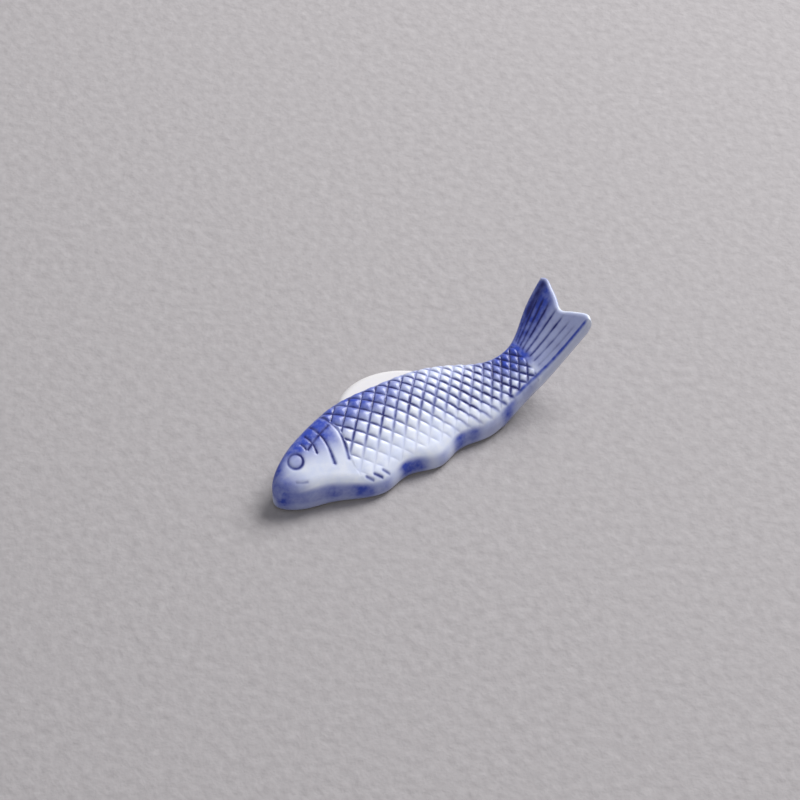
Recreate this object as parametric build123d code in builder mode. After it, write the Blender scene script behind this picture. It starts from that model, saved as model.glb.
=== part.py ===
"""Fish-shaped porcelain chopstick rest: the pressed body and the clear glaze fired over it."""

import os
from math import pi, cos

from build123d import *

# Lengths along the fish
HEAD_LENGTH = 15.5  # nose to the edge of the gill cover
TRUNK_LENGTH = 41.5  # gill cover to the last scales
TAIL_LENGTH = 12.4  # last scales to the tail tips

# Reaches across the fish, from the line through nose and tail
BACK_REACH = 6.8  # edge of the back behind the gill cover
FIN_REACH = 12.2  # edge of the dorsal fin
BELLY_REACH = 11.0  # tips of the belly lobes
TAIL_REACH = 7.6  # half the width of the tail

# Heights above the table
CREST_HEIGHT = 10.2  # highest line of the trunk, close to the back
RIM_HEIGHT = 3.0  # rim of the belly lobes
FIN_HEIGHT = 6.4  # top of the dorsal fin
TAIL_LIFT = 17.8  # top of the tail at its tips
TAIL_THICKNESS = 2.9

# Relief and glaze
SCALE_PITCH = 3.4  # first scale behind the gill cover, along the fish
SCALE_SHRINK = 0.962  # each next scale against the one before
ROW_PITCH = 1.66  # from one row of scales to the next
SCALE_RISE = 0.3  # scales above the valleys between them
SCALE_SHARE = 0.82  # part of its cell that a scale fills
SCALE_MARGIN = 0.9  # scale centres stay this far inside the back edge
STROKE_WIDTH = 0.46  # pressed strokes of head, fins and tail
STROKE_DEPTH = 0.2
EYE_RADIUS = 1.35
FIN_BEVEL = 1.2  # softened edge along the dorsal fin
RIM_BEVEL = 0.7  # softened edge along the rim of the body
GLAZE = 0.3  # thickness of the glaze
GLAZE_LINE = 0.5  # bare clay below this height

NOSE = -(HEAD_LENGTH + TRUNK_LENGTH + TAIL_LENGTH) / 2
LOW = -4.0
HIGH = 30.0


def head(share):
    return NOSE + share * HEAD_LENGTH


def trunk(share):
    return NOSE + HEAD_LENGTH + share * TRUNK_LENGTH


def tail(share):
    return NOSE + HEAD_LENGTH + TRUNK_LENGTH + share * TAIL_LENGTH


# Section of the upper side: across as a share of the reach, up as a share from rim to crest
SECTION = [(-1.3, -0.1), (-0.7, 0.31), (-0.1, 0.81), (0.45, 1.0), (0.95, 0.93)]

# Stations along the fish: place, middle of the section, its reach, rim height, crest height
STATIONS = [
    (head(-0.12), -1.4, 9.0, 0.60 * RIM_HEIGHT, 0.45 * CREST_HEIGHT),
    (head(0.14), -1.2, 9.4, 0.74 * RIM_HEIGHT, 0.71 * CREST_HEIGHT),
    (head(0.46), -0.9, 9.8, 0.82 * RIM_HEIGHT, 0.86 * CREST_HEIGHT),
    (trunk(0.02), -0.3, 10.6, 0.94 * RIM_HEIGHT, 0.97 * CREST_HEIGHT),
    (trunk(0.36), -0.4, 10.9, 0.95 * RIM_HEIGHT, 0.99 * CREST_HEIGHT),
    (trunk(0.74), -2.4, 9.6, 1.20 * RIM_HEIGHT, 0.84 * CREST_HEIGHT),
    (trunk(0.93), -3.6, 8.6, 0.34 * TAIL_LIFT, 0.46 * TAIL_LIFT),
    (tail(0.25), -2.8, 8.6, 0.53 * TAIL_LIFT, 0.58 * TAIL_LIFT),
    (tail(0.65), -1.4, 9.0, 0.75 * TAIL_LIFT, 0.77 * TAIL_LIFT),
    (tail(1.08), -0.6, 9.6, 1.01 * TAIL_LIFT, 1.02 * TAIL_LIFT),
]

# Plan outline of the body, from the far tail tip along the back, round the nose and along the belly
OUTLINE = [
    (tail(0.95), 0.97 * TAIL_REACH),
    (tail(0.55), 0.70 * TAIL_REACH),
    (tail(-0.03), 0.15 * TAIL_REACH),
    (trunk(0.86), 0.15 * BACK_REACH),
    (trunk(0.70), 0.56 * BACK_REACH),
    (trunk(0.55), 0.86 * BACK_REACH),
    (trunk(0.30), 0.97 * BACK_REACH),
    (trunk(0.09), BACK_REACH),
    (head(0.70), 0.71 * BACK_REACH),
    (head(0.20), 0.24 * BACK_REACH),
    (head(0.0), -0.16 * BELLY_REACH),
    (head(0.18), -0.45 * BELLY_REACH),
    (head(0.60), -0.64 * BELLY_REACH),
    (trunk(0.10), -0.97 * BELLY_REACH),
    (trunk(0.23), -0.87 * BELLY_REACH),
    (trunk(0.385), -1.01 * BELLY_REACH),
    (trunk(0.52), -0.87 * BELLY_REACH),
    (trunk(0.66), -0.92 * BELLY_REACH),
    (trunk(0.88), -0.80 * BELLY_REACH),
    (tail(0.10), -1.09 * TAIL_REACH),
    (tail(1.0), -1.12 * TAIL_REACH),
]

# Fork of the tail, from the near tip to the far tip
FORK = [
    (tail(0.93), -0.70 * TAIL_REACH),
    (tail(0.84), -0.42 * TAIL_REACH),
    (tail(0.79), -0.22 * TAIL_REACH),
    (tail(0.84), 0.10 * TAIL_REACH),
    (tail(0.91), 0.50 * TAIL_REACH),
]


def grown(points, by):
    """The points moved outward from the line through them."""
    moved = []
    for i, (x, y) in enumerate(points):
        before = points[max(i - 1, 0)]
        after = points[min(i + 1, len(points) - 1)]
        run = (after[0] - before[0], after[1] - before[1])
        size = (run[0] ** 2 + run[1] ** 2) ** 0.5
        moved.append((x + by * run[1] / size, y - by * run[0] / size))
    return moved


# Lobe of the dorsal fin, from its front end to its rear end inside the trunk
DORSAL = [
    (trunk(0.06), 0.4 * BACK_REACH),
    (trunk(0.13), 0.76 * FIN_REACH),
    (trunk(0.29), FIN_REACH),
    (trunk(0.49), 0.83 * FIN_REACH),
    (trunk(0.71), 0.1 * BACK_REACH),
]

# Edge of the scales along the gill cover, the belly and up to the tail root
FIELD = [
    (trunk(-0.02), 0.80 * BACK_REACH),
    (trunk(0.012), 0.0),
    (trunk(-0.005), -0.40 * BELLY_REACH),
    (trunk(0.07), -0.62 * BELLY_REACH),
    (trunk(0.22), -0.70 * BELLY_REACH),
    (trunk(0.46), -0.70 * BELLY_REACH),
    (trunk(0.72), -0.72 * BELLY_REACH),
    (trunk(1.0), -0.64 * BELLY_REACH),
]

# Pressed arcs of the gill cover, the cheek and the mouth, each through three points
ARCS = [
    [(trunk(-0.02), 0.80 * BACK_REACH), (trunk(0.01), 0.0), (trunk(-0.015), -0.42 * BELLY_REACH)],
    [(head(0.79), 0.60 * BACK_REACH), (head(0.81), 0.0), (head(0.77), -0.37 * BELLY_REACH)],
    [(head(0.64), 0.42 * BACK_REACH), (head(0.66), 0.1 * BACK_REACH), (head(0.64), -0.1 * BELLY_REACH)],
    [(head(0.57), 0.03 * BACK_REACH), (head(0.76), 0.22 * BACK_REACH), (head(0.96), 0.36 * BACK_REACH)],
    [(head(0.23), -0.34 * BELLY_REACH), (head(0.29), -0.39 * BELLY_REACH), (head(0.35), -0.42 * BELLY_REACH)],
]

# Short straight strokes behind the eye and on the pectoral lobe, from end to end
TICKS = [
    [(head(0.54), 0.26 * BACK_REACH), (head(0.55), 0.07 * BACK_REACH)],
    [(trunk(0.015), -0.79 * BELLY_REACH), (trunk(0.035), -0.87 * BELLY_REACH)],
    [(trunk(0.055), -0.81 * BELLY_REACH), (trunk(0.08), -0.90 * BELLY_REACH)],
    [(trunk(0.10), -0.82 * BELLY_REACH), (trunk(0.12), -0.90 * BELLY_REACH)],
]

# Rays of the tail, across: where each starts at the root and where it ends near the fork
RAY_ROOTS = [0.02, -0.09, -0.20, -0.34, -0.51, -0.69, -0.87]
RAY_ENDS = [0.62, 0.42, 0.20, -0.10, -0.40, -0.66, -0.87]


def scale_x(step):
    """Place along the fish of a half step between scales."""
    shrink = SCALE_SHRINK**0.5
    return trunk(0.04) + SCALE_PITCH / 2 * (1 - shrink**step) / (1 - shrink)


def scale_point(step, row):
    """Point of the scale pattern; rows count from the middle toward the belly."""
    x = scale_x(step)
    share = min(max((x - trunk(0.3)) / (0.52 * TRUNK_LENGTH), 0), 1)
    bend = (1 - cos(pi * share)) / 2
    middle = -0.07 * BELLY_REACH - 0.26 * BELLY_REACH * bend
    return (x, middle - row * ROW_PITCH * (1 - 0.1 * bend))


def scale_places():
    """Step and row of every scale inside the field."""
    with BuildSketch() as field:
        with BuildLine():
            lower = Spline(*FIELD)
            upper = Spline(*grown(OUTLINE[2:8], -SCALE_MARGIN))
            Line(lower @ 1, upper @ 0)
            Line(upper @ 1, lower @ 0)
        make_face()
    grid = [(step, row) for step in range(0, 34) for row in range(-6, 7) if (step + row) % 2 == 0]
    return [(step, row) for step, row in grid if field.face().is_inside(Vector(*scale_point(step, row)))]


def scales(under):
    """Every scale as a small plate let into the upper face of the solid under it."""
    face = under.faces().sort_by(Axis.Z)[-1]
    with BuildPart() as plates:
        for step, row in scale_places():
            above = Axis((*scale_point(step, row), HIGH), (0, 0, -1))
            spot, normal = face.find_intersection_points(above)[0]
            seat = Plane(origin=spot, x_dir=(normal.Z, 0, -normal.X), z_dir=normal)
            ends = [
                scale_point(step + SCALE_SHARE, row),
                scale_point(step, row - SCALE_SHARE),
                scale_point(step - SCALE_SHARE, row),
                scale_point(step, row + SCALE_SHARE),
            ]
            corners = [seat.to_local_coords(Vector(*end, spot.Z)) for end in ends]
            with BuildSketch(seat.offset(-GLAZE / 2)):
                Polygon(*[(corner.X, corner.Y) for corner in corners], align=None)
        extrude(amount=GLAZE / 2 + SCALE_RISE)
    return plates.part


def strokes():
    """Plan of the single strokes, the rays of the tail and the ring of the eye."""
    with BuildSketch() as plan:
        with BuildLine():
            for points in ARCS:
                ThreePointArc(*points)
            for points in TICKS:
                Line(*points)
            for root, end in zip(RAY_ROOTS, RAY_ENDS):
                Line((tail(0.1), root * TAIL_REACH), (tail(0.74), end * TAIL_REACH))
        trace(line_width=STROKE_WIDTH)
        with Locations((head(0.36), -0.06 * BACK_REACH)):
            Circle(EYE_RADIUS + STROKE_WIDTH / 2)
            Circle(EYE_RADIUS - STROKE_WIDTH / 2, mode=Mode.SUBTRACT)
    return plan.sketch


def crown(lift):
    """Solid under the upper side of the fish, raised by lift."""
    net = []
    for place, middle, reach, rim, crest in STATIONS:
        net.append([Vector(place, middle + a * reach, lift + rim + u * (crest - rim)) for a, u in SECTION])
    with BuildPart() as solid:
        extrude(Face.make_surface_from_array_of_points(net), amount=HIGH, dir=(0, 0, -1))
    return solid.part


def underside(grow):
    """Side view of the fish above its foot and under the rising tail, for trimming."""
    with BuildSketch(Plane.XZ.offset(HIGH)) as view:
        with BuildLine():
            start = (trunk(0.64), -grow)
            rise = Spline(
                start,
                (trunk(0.93), 0.34 * TAIL_LIFT - TAIL_THICKNESS - grow),
                (tail(0.25), 0.53 * TAIL_LIFT - TAIL_THICKNESS - grow),
                (tail(0.65), 0.75 * TAIL_LIFT - TAIL_THICKNESS - grow),
                (tail(1.2), 1.07 * TAIL_LIFT - TAIL_THICKNESS - grow),
                tangents=[(1, 0), (0.65, 1)],
            )
            Polyline(rise @ 1, (tail(1.2), HIGH), (head(-0.3), HIGH), (head(-0.3), -grow), start)
        make_face()
    return view.sketch


def outline(grow):
    """Plan of the body, grown by the given thickness."""
    with BuildSketch(Plane.XY.offset(LOW)) as plan:
        with BuildLine():
            side = Spline(*grown(OUTLINE, grow))
            Spline(side @ 1, *grown(FORK, grow), side @ 0)
        make_face()
    return plan.sketch


def fish(grow):
    """The whole smooth form, grown by a thickness."""
    with BuildPart() as fin:
        with BuildSketch(Plane.XY.offset(-grow)):
            with BuildLine():
                edge = Spline(*grown(DORSAL, -grow))
                Line(edge @ 1, edge @ 0)
            make_face()
        extrude(amount=FIN_HEIGHT + 2 * grow)
        chamfer(fin.faces().sort_by(Axis.Z)[-1].edges().sort_by(SortBy.LENGTH)[-1], FIN_BEVEL)
    with BuildPart() as tips:
        with Locations((tail(1.0), 0, 0)):
            Box(0.6 * TAIL_LENGTH, 4 * TAIL_REACH, 2 * HIGH)
        with Locations((tail(-1.0), 0, 0)):
            Cylinder(2 * TAIL_LENGTH + grow, 2 * HIGH, mode=Mode.SUBTRACT)
    with BuildPart() as solid:
        add(crown(grow))
        extrude(outline(grow), amount=HIGH, dir=(0, 0, 1), mode=Mode.INTERSECT)
        chamfer(solid.faces().sort_by(Axis.Z)[-1].edges(), RIM_BEVEL)
        add(tips.part, mode=Mode.SUBTRACT)
        add(fin.part)
        extrude(underside(grow), amount=2 * HIGH, dir=(0, 1, 0), mode=Mode.INTERSECT)
    return solid.part


os.makedirs("parts", exist_ok=True)

with BuildPart() as porcelain_body:
    add(fish(0))
porcelain_body.part.label = "porcelain_body"
export_step(porcelain_body.part, "parts/porcelain_body.step")

with BuildPart() as pressed:
    extrude(strokes(), amount=HIGH, dir=(0, 0, 1))
    add(crown(GLAZE - STROKE_DEPTH), mode=Mode.SUBTRACT)

with BuildPart() as glaze_coat:
    add(fish(GLAZE))
    with Locations((0, 0, GLAZE_LINE)):
        Box(4 * HIGH, 2 * HIGH, HIGH, align=(Align.CENTER, Align.CENTER, Align.MAX), mode=Mode.SUBTRACT)
    add(pressed.part, mode=Mode.SUBTRACT)
    add(porcelain_body.part, mode=Mode.SUBTRACT)
    add(scales(crown(GLAZE)))
glaze_coat.part.label = "glaze_coat"
export_step(glaze_coat.part, "parts/glaze_coat.step")
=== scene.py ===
"""Looks of the fish-shaped porcelain chopstick rest: glazed relief, cobalt painting, floor and light."""

import math

import bmesh
import bpy
import numpy as np
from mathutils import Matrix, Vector
from mathutils.kdtree import KDTree


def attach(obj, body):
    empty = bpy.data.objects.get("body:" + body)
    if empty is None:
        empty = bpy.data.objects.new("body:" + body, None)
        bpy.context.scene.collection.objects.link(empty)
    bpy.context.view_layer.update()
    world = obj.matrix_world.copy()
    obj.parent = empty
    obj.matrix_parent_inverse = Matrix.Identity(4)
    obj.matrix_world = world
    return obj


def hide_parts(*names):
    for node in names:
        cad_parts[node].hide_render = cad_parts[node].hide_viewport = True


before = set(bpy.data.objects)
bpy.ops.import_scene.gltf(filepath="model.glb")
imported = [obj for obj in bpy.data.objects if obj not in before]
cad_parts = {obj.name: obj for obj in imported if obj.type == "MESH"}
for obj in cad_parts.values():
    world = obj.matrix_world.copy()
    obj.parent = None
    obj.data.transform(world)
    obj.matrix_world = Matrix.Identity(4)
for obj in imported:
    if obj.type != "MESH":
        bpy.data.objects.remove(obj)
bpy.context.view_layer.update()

MM = 0.001

# Lengths along the fish, in millimetres as in the CAD model
HEAD_LENGTH = 15.5
TRUNK_LENGTH = 41.5
TAIL_LENGTH = 12.4

# Reaches across the fish and heights above the table
BACK_REACH = 6.8
FIN_REACH = 12.2
BELLY_REACH = 11.0
TAIL_REACH = 7.6
CREST_HEIGHT = 10.2
RIM_HEIGHT = 3.0
FIN_HEIGHT = 6.4
TAIL_LIFT = 17.8
TAIL_THICKNESS = 2.9

# Glaze, rounding and relief
GLAZE = 0.3
GLAZE_LINE = 0.5
RIM_ROUND = 2.3  # along the belly and the back
BLADE_ROUND = 1.2  # along the tail
NOSE_ROUND = 1.7  # round the nose
FIN_ROUND = 1.7
FOOT_TUCK = 0.5  # lower edge drawn in above the table
TUCK_HEIGHT = 1.6  # how far up that starts
SCALE_PITCH = 3.4
SCALE_SHRINK = 0.962
ROW_PITCH = 1.66
SCALE_RISE = 0.36
STROKE_DEPTH = 0.13
EYE_RADIUS = 1.4
LEAST_WASH = 0.03  # blue tinge of all glaze but the fin's

# Mesh density
ALONG = 760
ACROSS = 250
WALL_LEVELS = 14

NOSE = -(HEAD_LENGTH + TRUNK_LENGTH + TAIL_LENGTH) / 2


def head(share):
    return NOSE + share * HEAD_LENGTH


def trunk(share):
    return NOSE + HEAD_LENGTH + share * TRUNK_LENGTH


def tail(share):
    return NOSE + HEAD_LENGTH + TRUNK_LENGTH + share * TAIL_LENGTH


EYE = (head(0.36), -0.06 * BACK_REACH)
TAIL_ROOT = np.array([tail(0.0), -0.4 * TAIL_REACH])

# Section of the upper side: across as a share of the reach, up as a share from rim to crest
SECTION = [(-1.3, -0.1), (-0.7, 0.31), (-0.1, 0.81), (0.45, 1.0), (0.95, 0.93)]

# Stations along the fish: place, middle of the section, its reach, rim height, crest height
STATIONS = [
    (head(-0.12), -1.4, 9.0, 0.60 * RIM_HEIGHT, 0.45 * CREST_HEIGHT),
    (head(0.14), -1.2, 9.4, 0.74 * RIM_HEIGHT, 0.71 * CREST_HEIGHT),
    (head(0.46), -0.9, 9.8, 0.82 * RIM_HEIGHT, 0.86 * CREST_HEIGHT),
    (trunk(0.02), -0.3, 10.6, 0.94 * RIM_HEIGHT, 0.97 * CREST_HEIGHT),
    (trunk(0.36), -0.4, 10.9, 0.95 * RIM_HEIGHT, 0.99 * CREST_HEIGHT),
    (trunk(0.74), -2.4, 9.6, 1.20 * RIM_HEIGHT, 0.84 * CREST_HEIGHT),
    (trunk(0.93), -3.6, 8.6, 0.34 * TAIL_LIFT, 0.46 * TAIL_LIFT),
    (tail(0.25), -2.8, 8.6, 0.53 * TAIL_LIFT, 0.58 * TAIL_LIFT),
    (tail(0.65), -1.4, 9.0, 0.75 * TAIL_LIFT, 0.77 * TAIL_LIFT),
    (tail(1.08), -0.6, 9.6, 1.01 * TAIL_LIFT, 1.02 * TAIL_LIFT),
]

# Plan outline of the body, from the far tail tip along the back, round the nose and along the belly
OUTLINE = [
    (tail(0.90), 0.93 * TAIL_REACH),
    (tail(0.55), 0.70 * TAIL_REACH),
    (tail(-0.03), 0.15 * TAIL_REACH),
    (trunk(0.86), 0.15 * BACK_REACH),
    (trunk(0.70), 0.56 * BACK_REACH),
    (trunk(0.55), 0.86 * BACK_REACH),
    (trunk(0.30), 0.97 * BACK_REACH),
    (trunk(0.09), BACK_REACH),
    (head(0.70), 0.71 * BACK_REACH),
    (head(0.20), 0.24 * BACK_REACH),
    (head(0.0), -0.16 * BELLY_REACH),
    (head(0.18), -0.45 * BELLY_REACH),
    (head(0.60), -0.64 * BELLY_REACH),
    (trunk(0.10), -0.97 * BELLY_REACH),
    (trunk(0.23), -0.87 * BELLY_REACH),
    (trunk(0.385), -1.01 * BELLY_REACH),
    (trunk(0.52), -0.87 * BELLY_REACH),
    (trunk(0.66), -0.92 * BELLY_REACH),
    (trunk(0.88), -0.80 * BELLY_REACH),
    (tail(0.10), -1.09 * TAIL_REACH),
    (tail(0.94), -1.11 * TAIL_REACH),
]
NOSE_POINT = 10  # which point of the outline is the nose

# Fork of the tail, from the near tip to the far tip
FORK = [
    (tail(0.94), -1.11 * TAIL_REACH),
    (tail(0.965), -1.00 * TAIL_REACH),
    (tail(0.92), -0.70 * TAIL_REACH),
    (tail(0.84), -0.42 * TAIL_REACH),
    (tail(0.79), -0.22 * TAIL_REACH),
    (tail(0.84), 0.10 * TAIL_REACH),
    (tail(0.91), 0.50 * TAIL_REACH),
    (tail(0.935), 0.83 * TAIL_REACH),
    (tail(0.90), 0.93 * TAIL_REACH),
]

# Dorsal fin, from its front end to its rear end inside the trunk
DORSAL = [
    (trunk(0.06), 0.4 * BACK_REACH),
    (trunk(0.14), 0.74 * FIN_REACH),
    (trunk(0.29), FIN_REACH),
    (trunk(0.49), 0.87 * FIN_REACH),
    (trunk(0.71), 0.1 * BACK_REACH),
]

# Brush strokes: plan points, half width, strength of the ink
STROKES = [
    (
        [(trunk(-0.02), 0.86 * BACK_REACH), (trunk(0.01), 0.0), (trunk(-0.015), -0.42 * BELLY_REACH)],
        0.38,
        0.85,
    ),
    (
        [(head(0.77), 0.66 * BACK_REACH), (head(0.81), 0.0), (head(0.77), -0.38 * BELLY_REACH)],
        0.40,
        1.0,
    ),
    (
        [(head(0.64), 0.42 * BACK_REACH), (head(0.66), 0.1 * BACK_REACH), (head(0.64), -0.1 * BELLY_REACH)],
        0.38,
        1.0,
    ),
    (
        [(head(0.57), 0.03 * BACK_REACH), (head(0.76), 0.22 * BACK_REACH), (head(0.96), 0.36 * BACK_REACH)],
        0.38,
        1.0,
    ),
    (
        [(head(0.54), 0.26 * BACK_REACH), (head(0.55), 0.16 * BACK_REACH), (head(0.55), 0.07 * BACK_REACH)],
        0.34,
        0.95,
    ),
    (
        [
            (head(0.23), -0.34 * BELLY_REACH),
            (head(0.29), -0.39 * BELLY_REACH),
            (head(0.35), -0.42 * BELLY_REACH),
        ],
        0.30,
        0.5,
    ),
    ([(trunk(0.015), -0.79 * BELLY_REACH), (trunk(0.035), -0.87 * BELLY_REACH)], 0.32, 0.75),
    ([(trunk(0.055), -0.81 * BELLY_REACH), (trunk(0.08), -0.90 * BELLY_REACH)], 0.32, 0.85),
    ([(trunk(0.10), -0.82 * BELLY_REACH), (trunk(0.12), -0.90 * BELLY_REACH)], 0.30, 0.75),
]

# Rays of the tail: place across at the root, place near the fork, strength of the ink
RAYS = [
    (0.10, 0.82, 1.0),
    (0.02, 0.63, 1.0),
    (-0.09, 0.43, 1.0),
    (-0.20, 0.20, 1.0),
    (-0.34, -0.10, 0.95),
    (-0.51, -0.40, 0.85),
    (-0.69, -0.66, 0.7),
    (-0.87, -0.87, 0.55),
]

# Blue along the lower edge of the belly side: place, spread along, strength
EDGE_PAINT = [
    (head(0.02), 2.0, 0.85),
    (head(0.25), 2.8, 0.65),
    (head(0.60), 3.2, 0.80),
    (head(0.95), 2.6, 1.0),
    (trunk(0.09), 2.2, 0.60),
    (trunk(0.215), 1.8, 1.0),
    (trunk(0.29), 1.8, 0.90),
    (trunk(0.40), 2.0, 0.50),
    (trunk(0.515), 1.7, 1.0),
    (trunk(0.595), 1.9, 0.85),
    (trunk(0.69), 2.2, 0.45),
    (trunk(0.80), 2.2, 0.95),
    (trunk(0.93), 3.0, 0.55),
]


def spline(knots, values):
    """Natural cubic spline through values at the knots, as a function of an array."""
    t = np.asarray(knots, float)
    v = np.asarray(values, float).reshape(len(t), -1)
    n = len(t)
    h = np.diff(t)
    system = np.eye(n)
    right = np.zeros_like(v)
    for i in range(1, n - 1):
        system[i, i - 1 : i + 2] = (h[i - 1], 2 * (h[i - 1] + h[i]), h[i])
        right[i] = 6 * ((v[i + 1] - v[i]) / h[i] - (v[i] - v[i - 1]) / h[i - 1])
    bend = np.linalg.solve(system, right)

    def value(at):
        at = np.asarray(at, float)
        flat = at.ravel()
        i = np.clip(np.searchsorted(t, flat) - 1, 0, n - 2)
        a = ((t[i + 1] - flat) / h[i])[:, None]
        b = ((flat - t[i]) / h[i])[:, None]
        step = (h[i] ** 2)[:, None] / 6
        out = a * v[i] + b * v[i + 1] + ((a**3 - a) * bend[i] + (b**3 - b) * bend[i + 1]) * step
        return out.reshape(at.shape if v.shape[1] == 1 else (*at.shape, v.shape[1]))

    return value


def curve(points):
    """Smooth curve through plan points, as a function of the share of its length."""
    p = np.asarray(points, float)
    chords = np.r_[0, np.cumsum(np.hypot(*np.diff(p, axis=0).T))]
    fine = spline(chords, p)(np.linspace(0, chords[-1], 4000))
    length = np.r_[0, np.cumsum(np.hypot(*np.diff(fine, axis=0).T))]
    length /= length[-1]

    def at(share):
        return np.stack([np.interp(share, length, fine[:, 0]), np.interp(share, length, fine[:, 1])], -1)

    return at


def share_at(line, point):
    """Share of its length at which a curve passes a point."""
    shares = np.linspace(0, 1, 4000)
    return shares[np.argmin(np.hypot(*(line(shares) - point).T))]


def grown(points, by):
    """Plan points moved to the right of the way they run."""
    p = np.asarray(points, float)
    run = np.gradient(p, axis=0)
    run /= np.hypot(*run.T)[:, None]
    return p + by * np.stack([run[:, 1], -run[:, 0]], -1)


def step(low, high, x):
    """0 at low and before, 1 at high and after, smooth between."""
    s = np.clip((x - low) / (high - low), 0, 1)
    return s * s * (3 - 2 * s)


def bell(x, middle, spread):
    """1 in the middle, falling off smoothly on both sides."""
    return np.exp(-(((x - middle) / spread) ** 2))


def distance(x, y, line):
    """Distance of every plan point from the nearest point of a dense line."""
    tree = KDTree(len(line))
    for i, (px, py) in enumerate(line):
        tree.insert((px, py, 0), i)
    tree.balance()
    return np.array([tree.find((a, b, 0))[2] for a, b in zip(x.ravel(), y.ravel())]).reshape(x.shape)


def drop(gap, radius):
    """Drop of a surface at a gap from an edge rounded with a radius."""
    short = np.clip(radius - gap, 0, radius)
    return radius - np.sqrt(radius**2 - short**2)


# Smooth form
station_places = [station[0] for station in STATIONS]
middle_at, reach_at, rim_at, crest_at = (
    spline(station_places, [station[column] for station in STATIONS]) for column in (1, 2, 3, 4)
)
section_at = spline(*zip(*SECTION))
underside_at = spline(
    [trunk(0.40), trunk(0.64), trunk(0.80), trunk(0.93), tail(0.25), tail(0.65), tail(1.2)],
    [0, 0, 1.0] + [share * TAIL_LIFT - TAIL_THICKNESS for share in (0.34, 0.53, 0.75, 1.07)],
)


def top_height(x, y):
    """Height of the clay's upper side."""
    across = np.clip((y - middle_at(x)) / reach_at(x), SECTION[0][0], SECTION[-1][0])
    rim = rim_at(x)
    return rim + section_at(across) * (crest_at(x) - rim)


def bottom_height(x):
    """Height of the clay's underside: flat on the table, then along the rising tail."""
    return np.maximum(0, np.where(x < trunk(0.64), 0, underside_at(x)))


def rim_round(x, y):
    """Rounding radius of the rim: wide along belly and back, tighter at the nose and along the tail."""
    wanted = BLADE_ROUND + (RIM_ROUND - BLADE_ROUND) * step(trunk(0.97), trunk(0.72), x)
    wanted = wanted + (NOSE_ROUND - RIM_ROUND) * step(head(0.30), head(0.02), x)
    return np.minimum(wanted, 0.85 * (top_height(x, y) - bottom_height(x)))


def filled(belly, back, fork, along, across):
    """Points from nose to fork and from belly to back, between two long edges and the fork."""
    share = across[None, :, None]
    straight = fork[0] * (1 - share[0]) + fork[-1] * share[0]
    pull = np.clip((along - 0.80) / 0.20, 0, 1)[:, None, None] ** 2
    return belly[:, None] * (1 - share) + back[:, None] * share + pull * (fork - straight)


class Form:
    """Smooth form grown by a thickness: upper sheet, walls to a foot line, dorsal fin and underside."""

    def __init__(self, grow, foot, rows, columns):
        dense = np.linspace(0, 1, 4000)
        spread = np.linspace(0, 1, columns)
        self.across = 0.55 * spread + 0.45 * (1 - np.cos(np.pi * spread)) / 2
        fork = grown(FORK, grow)
        outline = grown(OUTLINE, grow)
        outline[0], outline[-1] = fork[-1], fork[0]
        side = curve(outline)
        nose = share_at(side, outline[NOSE_POINT])
        self.belly = lambda share: side(nose + (1 - nose) * share)
        self.back = lambda share: side(nose * (1 - share))
        self.fork = curve(fork)
        along = np.linspace(0, 1, rows) ** 1.15
        body = filled(self.belly(along), self.back(along), self.fork(self.across), along, self.across)
        x, y = body[..., 0], body[..., 1]
        edges = [self.belly(dense), self.back(dense), self.fork(dense)]
        self.inside = distance(x, y, np.concatenate(edges))
        self.inside[[0, -1], :] = 0
        self.inside[:, [0, -1]] = 0
        self.fork_gap = distance(x, y, edges[2])
        self.upper = (x, y, grow + top_height(x, y) - drop(self.inside, rim_round(x, y)))

        loop = np.concatenate([body[:, 0], body[-1, 1:], body[-2::-1, -1]])
        x, y = loop[:, 0], loop[:, 1]
        levels = np.linspace(0, 1, WALL_LEVELS)[:, None]
        start = grow + top_height(x, y) - rim_round(x, y)
        end = np.maximum(foot, bottom_height(x) - grow)
        z = start + (end - start) * levels
        run = np.gradient(loop, axis=0)
        run /= np.maximum(np.hypot(*run.T), 1e-9)[:, None]
        toward_root = TAIL_ROOT - loop
        toward_root /= np.hypot(*toward_root.T)[:, None]
        on_tail = step(tail(0.2), tail(0.5), x)[:, None]
        inward = np.stack([-run[:, 1], run[:, 0]], -1) * (1 - on_tail) + toward_root * on_tail
        tuck = FOOT_TUCK * np.clip(1 - (z - bottom_height(x)) / TUCK_HEIGHT, 0, 1) ** 2
        self.walls = (x + tuck * inward[:, 0], y + tuck * inward[:, 1], z)

        ring = np.stack([self.walls[0][-1], self.walls[1][-1], z[-1]], -1)
        belly, back = ring[:rows], ring[rows + columns - 2 :][::-1]
        under = filled(belly, back, ring[rows - 1 : rows + columns - 1], along, self.across)
        self.under = np.moveaxis(under, -1, 0)

        fin_line = curve(grown(DORSAL, -grow))
        count = rows // 3
        edge = fin_line(np.linspace(0, 1, count))
        share = np.linspace(0, 1, columns // 3)[:, None, None]
        fin = edge * (1 - share) + np.linspace(DORSAL[0], DORSAL[-1], count) * share
        x, y = fin[..., 0], fin[..., 1]
        gap = distance(x, y, fin_line(dense))
        gap[0] = 0
        self.fin = (x, y, FIN_HEIGHT + grow - drop(gap, FIN_ROUND))
        fin_start = FIN_HEIGHT + grow - FIN_ROUND
        fin_end = np.maximum(foot, bottom_height(edge[:, 0]) - grow)
        self.fin_walls = (edge[:, 0], edge[:, 1], fin_start + (fin_end - fin_start) * levels)
        self.fin_under = (x, y, np.maximum(foot, bottom_height(x) - grow))


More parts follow.
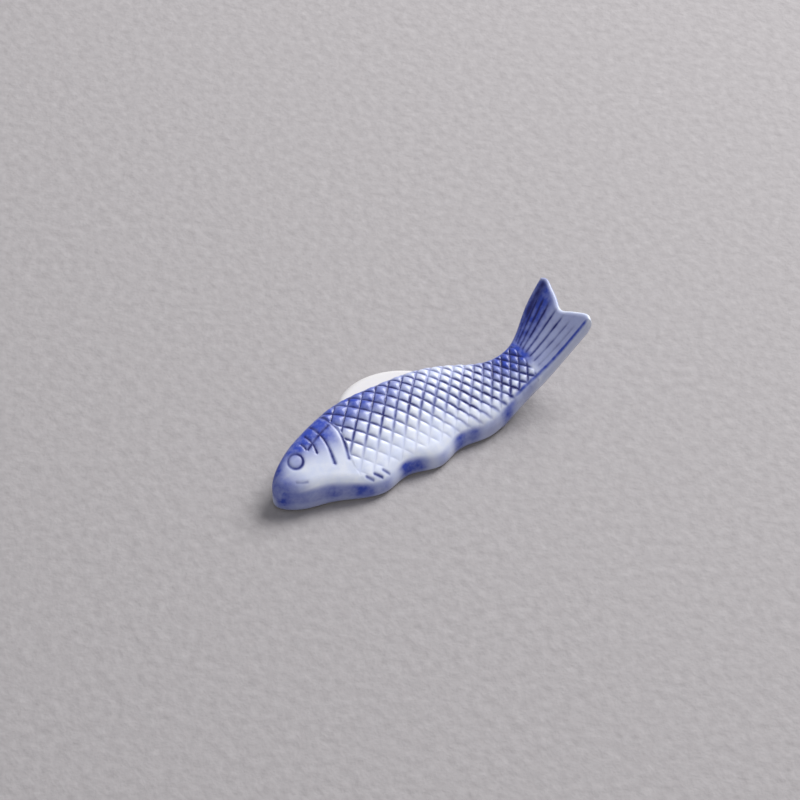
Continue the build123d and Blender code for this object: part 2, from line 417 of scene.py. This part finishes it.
# Relief and painting
def scale_cell(x, y):
    """Place in the scale pattern along both diagonals, whole at scale centres, and the row."""
    shrink = SCALE_SHRINK**0.5
    left = np.clip(1 - (x - trunk(0.04)) * (1 - shrink) / (SCALE_PITCH / 2), 1e-3, None)
    place = np.log(left) / math.log(shrink)
    bend = (1 - np.cos(np.pi * np.clip((x - trunk(0.3)) / (0.52 * TRUNK_LENGTH), 0, 1))) / 2
    middle = -0.07 * BELLY_REACH - 0.26 * BELLY_REACH * bend
    row = (middle - y) / (ROW_PITCH * (1 - 0.1 * bend))
    return (place - row) / 2, (place + row) / 2, row


def line_gap(cell):
    """0 on a line of the scale pattern, 1 at a scale's centre."""
    return 1 - 2 * np.abs(cell - np.round(cell))


gill_at = spline(
    [-20, -0.44 * BELLY_REACH, 0, 0.85 * BACK_REACH, 20],
    [trunk(0.09), trunk(-0.012), trunk(0.012), trunk(-0.025), trunk(-0.2)],
)


def scale_field(x, y, row):
    """1 where there are scales, fading at the gill cover, the tail root and the belly."""
    return step(0.0, 0.5, x - gill_at(y)) * step(trunk(1.0), trunk(0.985), x) * step(5.4, 4.2, row)


def stroke_ink(x, y):
    """Ink of the single strokes, the ring of the eye and the rays of the tail."""
    ink = 0.85 * bell(np.hypot(x - EYE[0], y - EYE[1]), EYE_RADIUS, 0.40)
    for points, width, strength in STROKES:
        line = curve(points)(np.linspace(0, 1, 60))
        low, high = line.min(0) - 4 * width, line.max(0) + 4 * width
        near = (x > low[0]) & (x < high[0]) & (y > low[1]) & (y < high[1])
        gap = np.hypot(x[near][:, None] - line[:, 0], y[near][:, None] - line[:, 1]).min(1)
        ink[near] = np.maximum(ink[near], strength * bell(gap, 0, width))
    far_edge = step(0.02, 0.36, (y - 0.30 * (x - tail(0.1))) / TAIL_REACH)
    ink = np.maximum(ink, far_edge * step(trunk(0.98), tail(0.12), x))
    run = (x - tail(0.06)) / (0.72 * TAIL_LENGTH)
    reach = step(-0.08, 0.04, run) * step(1.06, 0.84, run)
    for root, end, strength in RAYS:
        middle = (root + (end - root) * run + 0.05 * run * (1 - run)) * TAIL_REACH
        ink = np.maximum(ink, strength * reach * bell(y, middle, 0.22 + 0.20 * strength))
    return ink


def scale_ink(x, gap_a, gap_b, row):
    """Ink in the valleys between the scales, strong at the back and the tail root, faint at the belly."""
    pitch = 0.36 * SCALE_PITCH * (1 - 0.42 * step(trunk(0.1), trunk(1.0), x))
    front = step(trunk(0.66), trunk(0.34), x)
    root = step(trunk(0.62), trunk(0.86), x)
    belly = step(-0.6, 3.8, row)
    rear_a = (0.95 - 0.6 * step(2.0, 4.6, row)) * (0.55 + 0.45 * step(-3.6, -1.4, row))
    rear_b = 0.62 * step(3.4, 0.8, row) * (0.6 + 0.4 * step(-3.6, -1.4, row))
    root_a = root * (1 - 0.4 * step(3.4, 4.8, row))
    root_b = root * step(4.4, 2.2, row)
    strong_a = np.maximum((1.0 - 0.85 * belly) * front + rear_a * (1 - front), root_a)
    strong_b = np.maximum((1.0 - 0.85 * belly) * front + rear_b * (1 - front), root_b)
    ink_a = strong_a * bell(gap_a * pitch, 0, 0.36)
    ink_b = strong_b * bell(gap_b * pitch, 0, 0.33)
    return np.maximum(ink_a, ink_b)


def edge_paint(x):
    """Strength of the blue along the lower edge of the belly side."""
    return np.clip(sum(strength * bell(x, place, spread) for place, spread, strength in EDGE_PAINT), 0, 1)


def washes(x, y, inside, fork_gap):
    """Broad thinned cobalt on head, back, edge and tail."""
    on_head = step(trunk(0.02), trunk(-0.03), x)
    far_side = step(-1.0, 1.0, y - middle_at(x))
    near_side = step(-2.0, -3.5, y)
    top = step(-3.4, 2.4, y + 0.14 * (x - head(0.5)))
    blade = step(trunk(0.97), tail(0.10), x)
    far_half = step(-0.50, 0.10, (y - 0.26 * (x - tail(0.1))) / TAIL_REACH)
    bare_edge = step(0.1, 1.2, fork_gap) * (1 - 0.5 * near_side * step(1.3, 0.4, inside))
    behind_gill = step(trunk(-0.07), trunk(-0.02), x)
    near_line = bell(inside, 0.7, 0.42) * step(0.2, 1.5, fork_gap)
    return np.maximum.reduce([
        np.full_like(x, LEAST_WASH),
        on_head * (0.05 + 0.95 * top),
        0.86 * step(5.4, 1.2, inside) * step(head(0.50), head(0.04), x),
        0.97 * step(3.8, 0.6, inside) * far_side * on_head,
        0.55 * step(EYE_RADIUS + 0.2, EYE_RADIUS - 0.2, np.hypot(x - EYE[0], y - EYE[1])),
        0.93 * behind_gill * step(-3.4, 3.4, y) * step(trunk(0.70), trunk(0.18), x),
        0.45 * step(2.2, 0.4, inside) * far_side,
        step(trunk(0.66), trunk(0.93), x) * step(tail(0.3), tail(0.0), x) * step(-7.8, -3.0, y),
        blade * (0.54 + 0.44 * far_half) * bare_edge,
        edge_paint(x) * near_side * (1 - blade) * step(1.1, 0.3, inside),
        step(trunk(0.80), trunk(0.90), x) * near_side * near_line,
    ])


# Clay, and glaze with relief and painting
clay = Form(0, 0, ALONG // 4, ACROSS // 4)
glaze = Form(GLAZE, GLAZE_LINE, ALONG, ACROSS)
X, Y, smooth = glaze.upper
inside = glaze.inside
cell_a, cell_b, row = scale_cell(X, Y)
gap_a, gap_b = line_gap(cell_a), line_gap(cell_b)
field = scale_field(X, Y, row)
strokes = stroke_ink(X, Y)
pillow = (1 - (1 - gap_a) ** 2.4) * (1 - (1 - gap_b) ** 2.4)
relief = field * (1 - 0.7 * step(1.0, 4.0, row)) * SCALE_RISE * (pillow - 0.5) - STROKE_DEPTH * strokes
relief += 0.04 * step(EYE_RADIUS, 0.2, np.hypot(X - EYE[0], Y - EYE[1]))
Z = smooth + relief * step(0.1, 1.2, inside)
ink = np.maximum(field * scale_ink(X, gap_a, gap_b, row), strokes) * (0.4 + 0.6 * step(0.3, 1.3, inside))
wash = washes(X, Y, inside, glaze.fork_gap)
belly_side = step(-1.0, -3.0, glaze.walls[1])
downward = np.linspace(0, 1, WALL_LEVELS)[:, None]
rim_wash = np.concatenate([wash[:, 0], wash[-1, 1:], wash[-2::-1, -1]])
foot_wash = np.maximum(0.25, edge_paint(glaze.walls[0])) * belly_side + 0.35 * (1 - belly_side)
wall_wash = rim_wash + (foot_wash * (1 - 0.35 * downward) - rim_wash) * step(0, 0.5, downward)

GLAZE_SHEETS = [
    (X, Y, Z, ink, wash),
    (*glaze.walls, 0.0, wall_wash),
    (*glaze.fin, 0.0, 0.0),
    (*glaze.fin_walls, 0.0, 0.0),
    (*glaze.fin_under, 0.0, 0.0),
    (*glaze.under, 0.0, LEAST_WASH),
]
CLAY_FORMS = [clay.upper, clay.walls, clay.fin, clay.fin_walls, clay.fin_under, clay.under]
CLAY_SHEETS = [(*form, 0.0, 0.0) for form in CLAY_FORMS]


def joined(name, sheets):
    """One mesh of all sheets, with ink and wash as values on its points."""
    points, faces, values = [], [], []
    count = 0
    for sheet in sheets:
        x, y, z, sheet_ink, sheet_wash = np.broadcast_arrays(*sheet)
        rows, columns = x.shape
        corner = np.arange(rows - 1)[:, None] * columns + np.arange(columns - 1) + count
        quads = np.stack([corner, corner + columns, corner + columns + 1, corner + 1], -1)
        faces.append(quads.reshape(-1, 4))
        points.append(np.stack([x, y, z], -1).reshape(-1, 3) * MM)
        values.append(np.stack([sheet_ink, sheet_wash], -1).reshape(-1, 2))
        count += x.size
    mesh = bpy.data.meshes.new(name)
    mesh.from_pydata(np.concatenate(points).tolist(), [], np.concatenate(faces).tolist())
    for column, paint in enumerate(("ink", "wash")):
        layer = mesh.attributes.new(paint, "FLOAT", "POINT")
        strength = np.clip(np.concatenate(values)[:, column], 0, 1)
        layer.data.foreach_set("value", strength.astype(np.float32))
    shape = bmesh.new()
    shape.from_mesh(mesh)
    bmesh.ops.remove_doubles(shape, verts=shape.verts, dist=0.002 * MM)
    bmesh.ops.recalc_face_normals(shape, faces=shape.faces)
    for face in shape.faces:
        face.smooth = True
    shape.to_mesh(mesh)
    shape.free()
    return mesh


# Materials
class Shading:
    """A new material with short ways to add and join its nodes."""

    def __init__(self, name):
        self.material = bpy.data.materials.new(name)
        self.material.use_nodes = True
        self.nodes = self.material.node_tree.nodes
        self.links = self.material.node_tree.links
        self.shader = self.nodes["Principled BSDF"]
        self.place = self.nodes.new("ShaderNodeNewGeometry").outputs["Position"]

    def put(self, value, socket):
        if isinstance(value, bpy.types.NodeSocket):
            self.links.new(value, socket)
        else:
            socket.default_value = value

    def noise(self, scale, detail):
        node = self.nodes.new("ShaderNodeTexNoise")
        self.put(scale, node.inputs["Scale"])
        self.put(detail, node.inputs["Detail"])
        self.put(self.place, node.inputs["Vector"])
        return node.outputs["Fac"]

    def remap(self, value, low, high, to_low, to_high):
        node = self.nodes.new("ShaderNodeMapRange")
        limits = {"From Min": low, "From Max": high, "To Min": to_low, "To Max": to_high}
        for key, limit in limits.items():
            self.put(limit, node.inputs[key])
        self.put(value, node.inputs["Value"])
        return node.outputs["Result"]

    def math(self, operation, first, second):
        node = self.nodes.new("ShaderNodeMath")
        node.operation = operation
        node.use_clamp = True
        self.put(first, node.inputs[0])
        self.put(second, node.inputs[1])
        return node.outputs[0]

    def blend(self, factor, first, second):
        node = self.nodes.new("ShaderNodeMix")
        node.data_type = "RGBA"
        self.put(factor, node.inputs["Factor"])
        self.put(first, node.inputs[6])
        self.put(second, node.inputs[7])
        return node.outputs[2]

    def value_of(self, name):
        node = self.nodes.new("ShaderNodeAttribute")
        node.attribute_name = name
        return node.outputs["Fac"]

    def bump(self, height, strength, depth):
        node = self.nodes.new("ShaderNodeBump")
        self.put(strength, node.inputs["Strength"])
        self.put(depth, node.inputs["Distance"])
        self.put(height, node.inputs["Height"])
        self.put(node.outputs["Normal"], self.shader.inputs["Normal"])


PORCELAIN_BARE = (0.67, 0.655, 0.66, 1)
PORCELAIN_SHADE = (0.64, 0.69, 0.84, 1)
PORCELAIN_LIGHT = (0.76, 0.79, 0.87, 1)
WASH_BLUE = (0.030, 0.062, 0.40, 1)
INK_BLUE = (0.010, 0.012, 0.115, 1)
BISQUE_DARK = (0.60, 0.56, 0.50, 1)
BISQUE_PALE = (0.72, 0.69, 0.64, 1)
PLASTER_DARK = (0.325, 0.306, 0.311, 1)
PLASTER_PALE = (0.37, 0.351, 0.356, 1)


def glaze_material():
    """Clear glaze over white porcelain with cobalt washes and lines."""
    look = Shading("glaze")
    cloud = look.noise(450, 3)
    grain = look.noise(1600, 4)
    white = look.blend(look.remap(cloud, 0.35, 0.68, 0, 1), PORCELAIN_SHADE, PORCELAIN_LIGHT)
    broad = look.remap(cloud, 0.3, 0.72, 0.6, 1.0)
    fine = look.remap(grain, 0.3, 0.7, 0.85, 1.0)
    uneven = look.math("MULTIPLY", broad, fine)
    wash = look.value_of("wash")
    white = look.blend(look.remap(wash, 0, LEAST_WASH, 0, 1), PORCELAIN_BARE, white)
    line = look.math("MULTIPLY", look.value_of("ink"), look.remap(cloud, 0.3, 0.7, 0.75, 1.2))
    watery = look.math("MULTIPLY", wash, look.remap(uneven, 0.5, 1.0, 0.75, 1.2))
    blue = look.math("MAXIMUM", watery, line)
    painted = look.blend(blue, white, WASH_BLUE)
    inked = look.blend(look.math("MULTIPLY", line, line), painted, INK_BLUE)
    look.put(inked, look.shader.inputs["Base Color"])
    look.put(0.32, look.shader.inputs["Roughness"])
    look.put(0.4, look.shader.inputs["Specular IOR Level"])
    look.put(0.08, look.shader.inputs["Subsurface Weight"])
    look.put((0.6 * MM, 0.6 * MM, 0.8 * MM), look.shader.inputs["Subsurface Radius"])
    look.bump(look.noise(260, 2), 0.12, 0.4 * MM)
    return look.material


def bisque_material():
    """Bare fired porcelain of the foot."""
    look = Shading("bisque")
    speck = look.remap(look.noise(900, 5), 0.35, 0.7, 0, 1)
    look.put(look.blend(speck, BISQUE_DARK, BISQUE_PALE), look.shader.inputs["Base Color"])
    look.put(0.8, look.shader.inputs["Roughness"])
    return look.material


def floor_material():
    """Pale plaster with a fine tooth."""
    look = Shading("plaster")
    speck = look.remap(look.noise(500, 6), 0.3, 0.7, 0, 1)
    look.put(look.blend(speck, PLASTER_DARK, PLASTER_PALE), look.shader.inputs["Base Color"])
    look.put(0.9, look.shader.inputs["Roughness"])
    look.bump(look.noise(420, 6), 0.5, 0.7 * MM)
    return look.material


# Pieces
def piece(name, sheets, material, node):
    made = bpy.data.objects.new(name, joined(name, sheets))
    bpy.context.scene.collection.objects.link(made)
    made.data.materials.append(material)
    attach(made, "root")
    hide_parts(node)


piece("glazed_fish", GLAZE_SHEETS, glaze_material(), "glaze_coat")
piece("pressed_clay", CLAY_SHEETS, bisque_material(), "porcelain_body")

# Floor
bpy.ops.mesh.primitive_plane_add(size=4.0, location=(0, 0, 0))
floor = bpy.context.object
floor.name = "floor"
floor.data.materials.append(floor_material())

# Camera
AZIMUTH = math.radians(-35)
ELEVATION = math.radians(45)
DISTANCE = 0.6
IMAGE_PIXELS = 800
PIXELS_PER_MM = 5.2
AIM_POINT = Vector((-0.65, 0, 5.0)) * MM
AIM_PIXEL = (418, 410)

level = math.cos(ELEVATION)
toward = Vector((math.sin(AZIMUTH) * level, -math.cos(AZIMUTH) * level, math.sin(ELEVATION)))
right = Vector((math.cos(AZIMUTH), math.sin(AZIMUTH), 0))
up = toward.cross(right)
shift_right = (IMAGE_PIXELS / 2 - AIM_PIXEL[0]) / PIXELS_PER_MM * MM
shift_up = (AIM_PIXEL[1] - IMAGE_PIXELS / 2) / PIXELS_PER_MM * MM
camera = bpy.data.objects.new("camera", bpy.data.cameras.new("camera"))
bpy.context.scene.collection.objects.link(camera)
camera.data.sensor_width = 36
camera.data.lens = camera.data.sensor_width * PIXELS_PER_MM * DISTANCE / MM / IMAGE_PIXELS
camera.data.clip_start = 0.01
camera.location = AIM_POINT + right * shift_right + up * shift_up + toward * DISTANCE
camera.rotation_euler = toward.to_track_quat("Z", "Y").to_euler()
bpy.context.scene.camera = camera


# Light
def softbox(name, place, size, power):
    lamp = bpy.data.objects.new(name, bpy.data.lights.new(name, "AREA"))
    lamp.data.size = size
    lamp.data.energy = power
    lamp.location = place
    lamp.rotation_euler = Vector(place).to_track_quat("Z", "Y").to_euler()
    bpy.context.scene.collection.objects.link(lamp)


softbox("key", place=(0.84, 0.20, 0.80), size=0.65, power=20)
softbox("fill", place=(-0.9, -0.9, 0.9), size=1.2, power=1.6)

world = bpy.data.worlds.new("studio")
bpy.context.scene.world = world
world.use_nodes = True
background = world.node_tree.nodes["Background"]
background.inputs["Color"].default_value = (0.86, 0.87, 0.92, 1)
background.inputs["Strength"].default_value = 0.42
bpy.context.scene.view_settings.view_transform = "Standard"
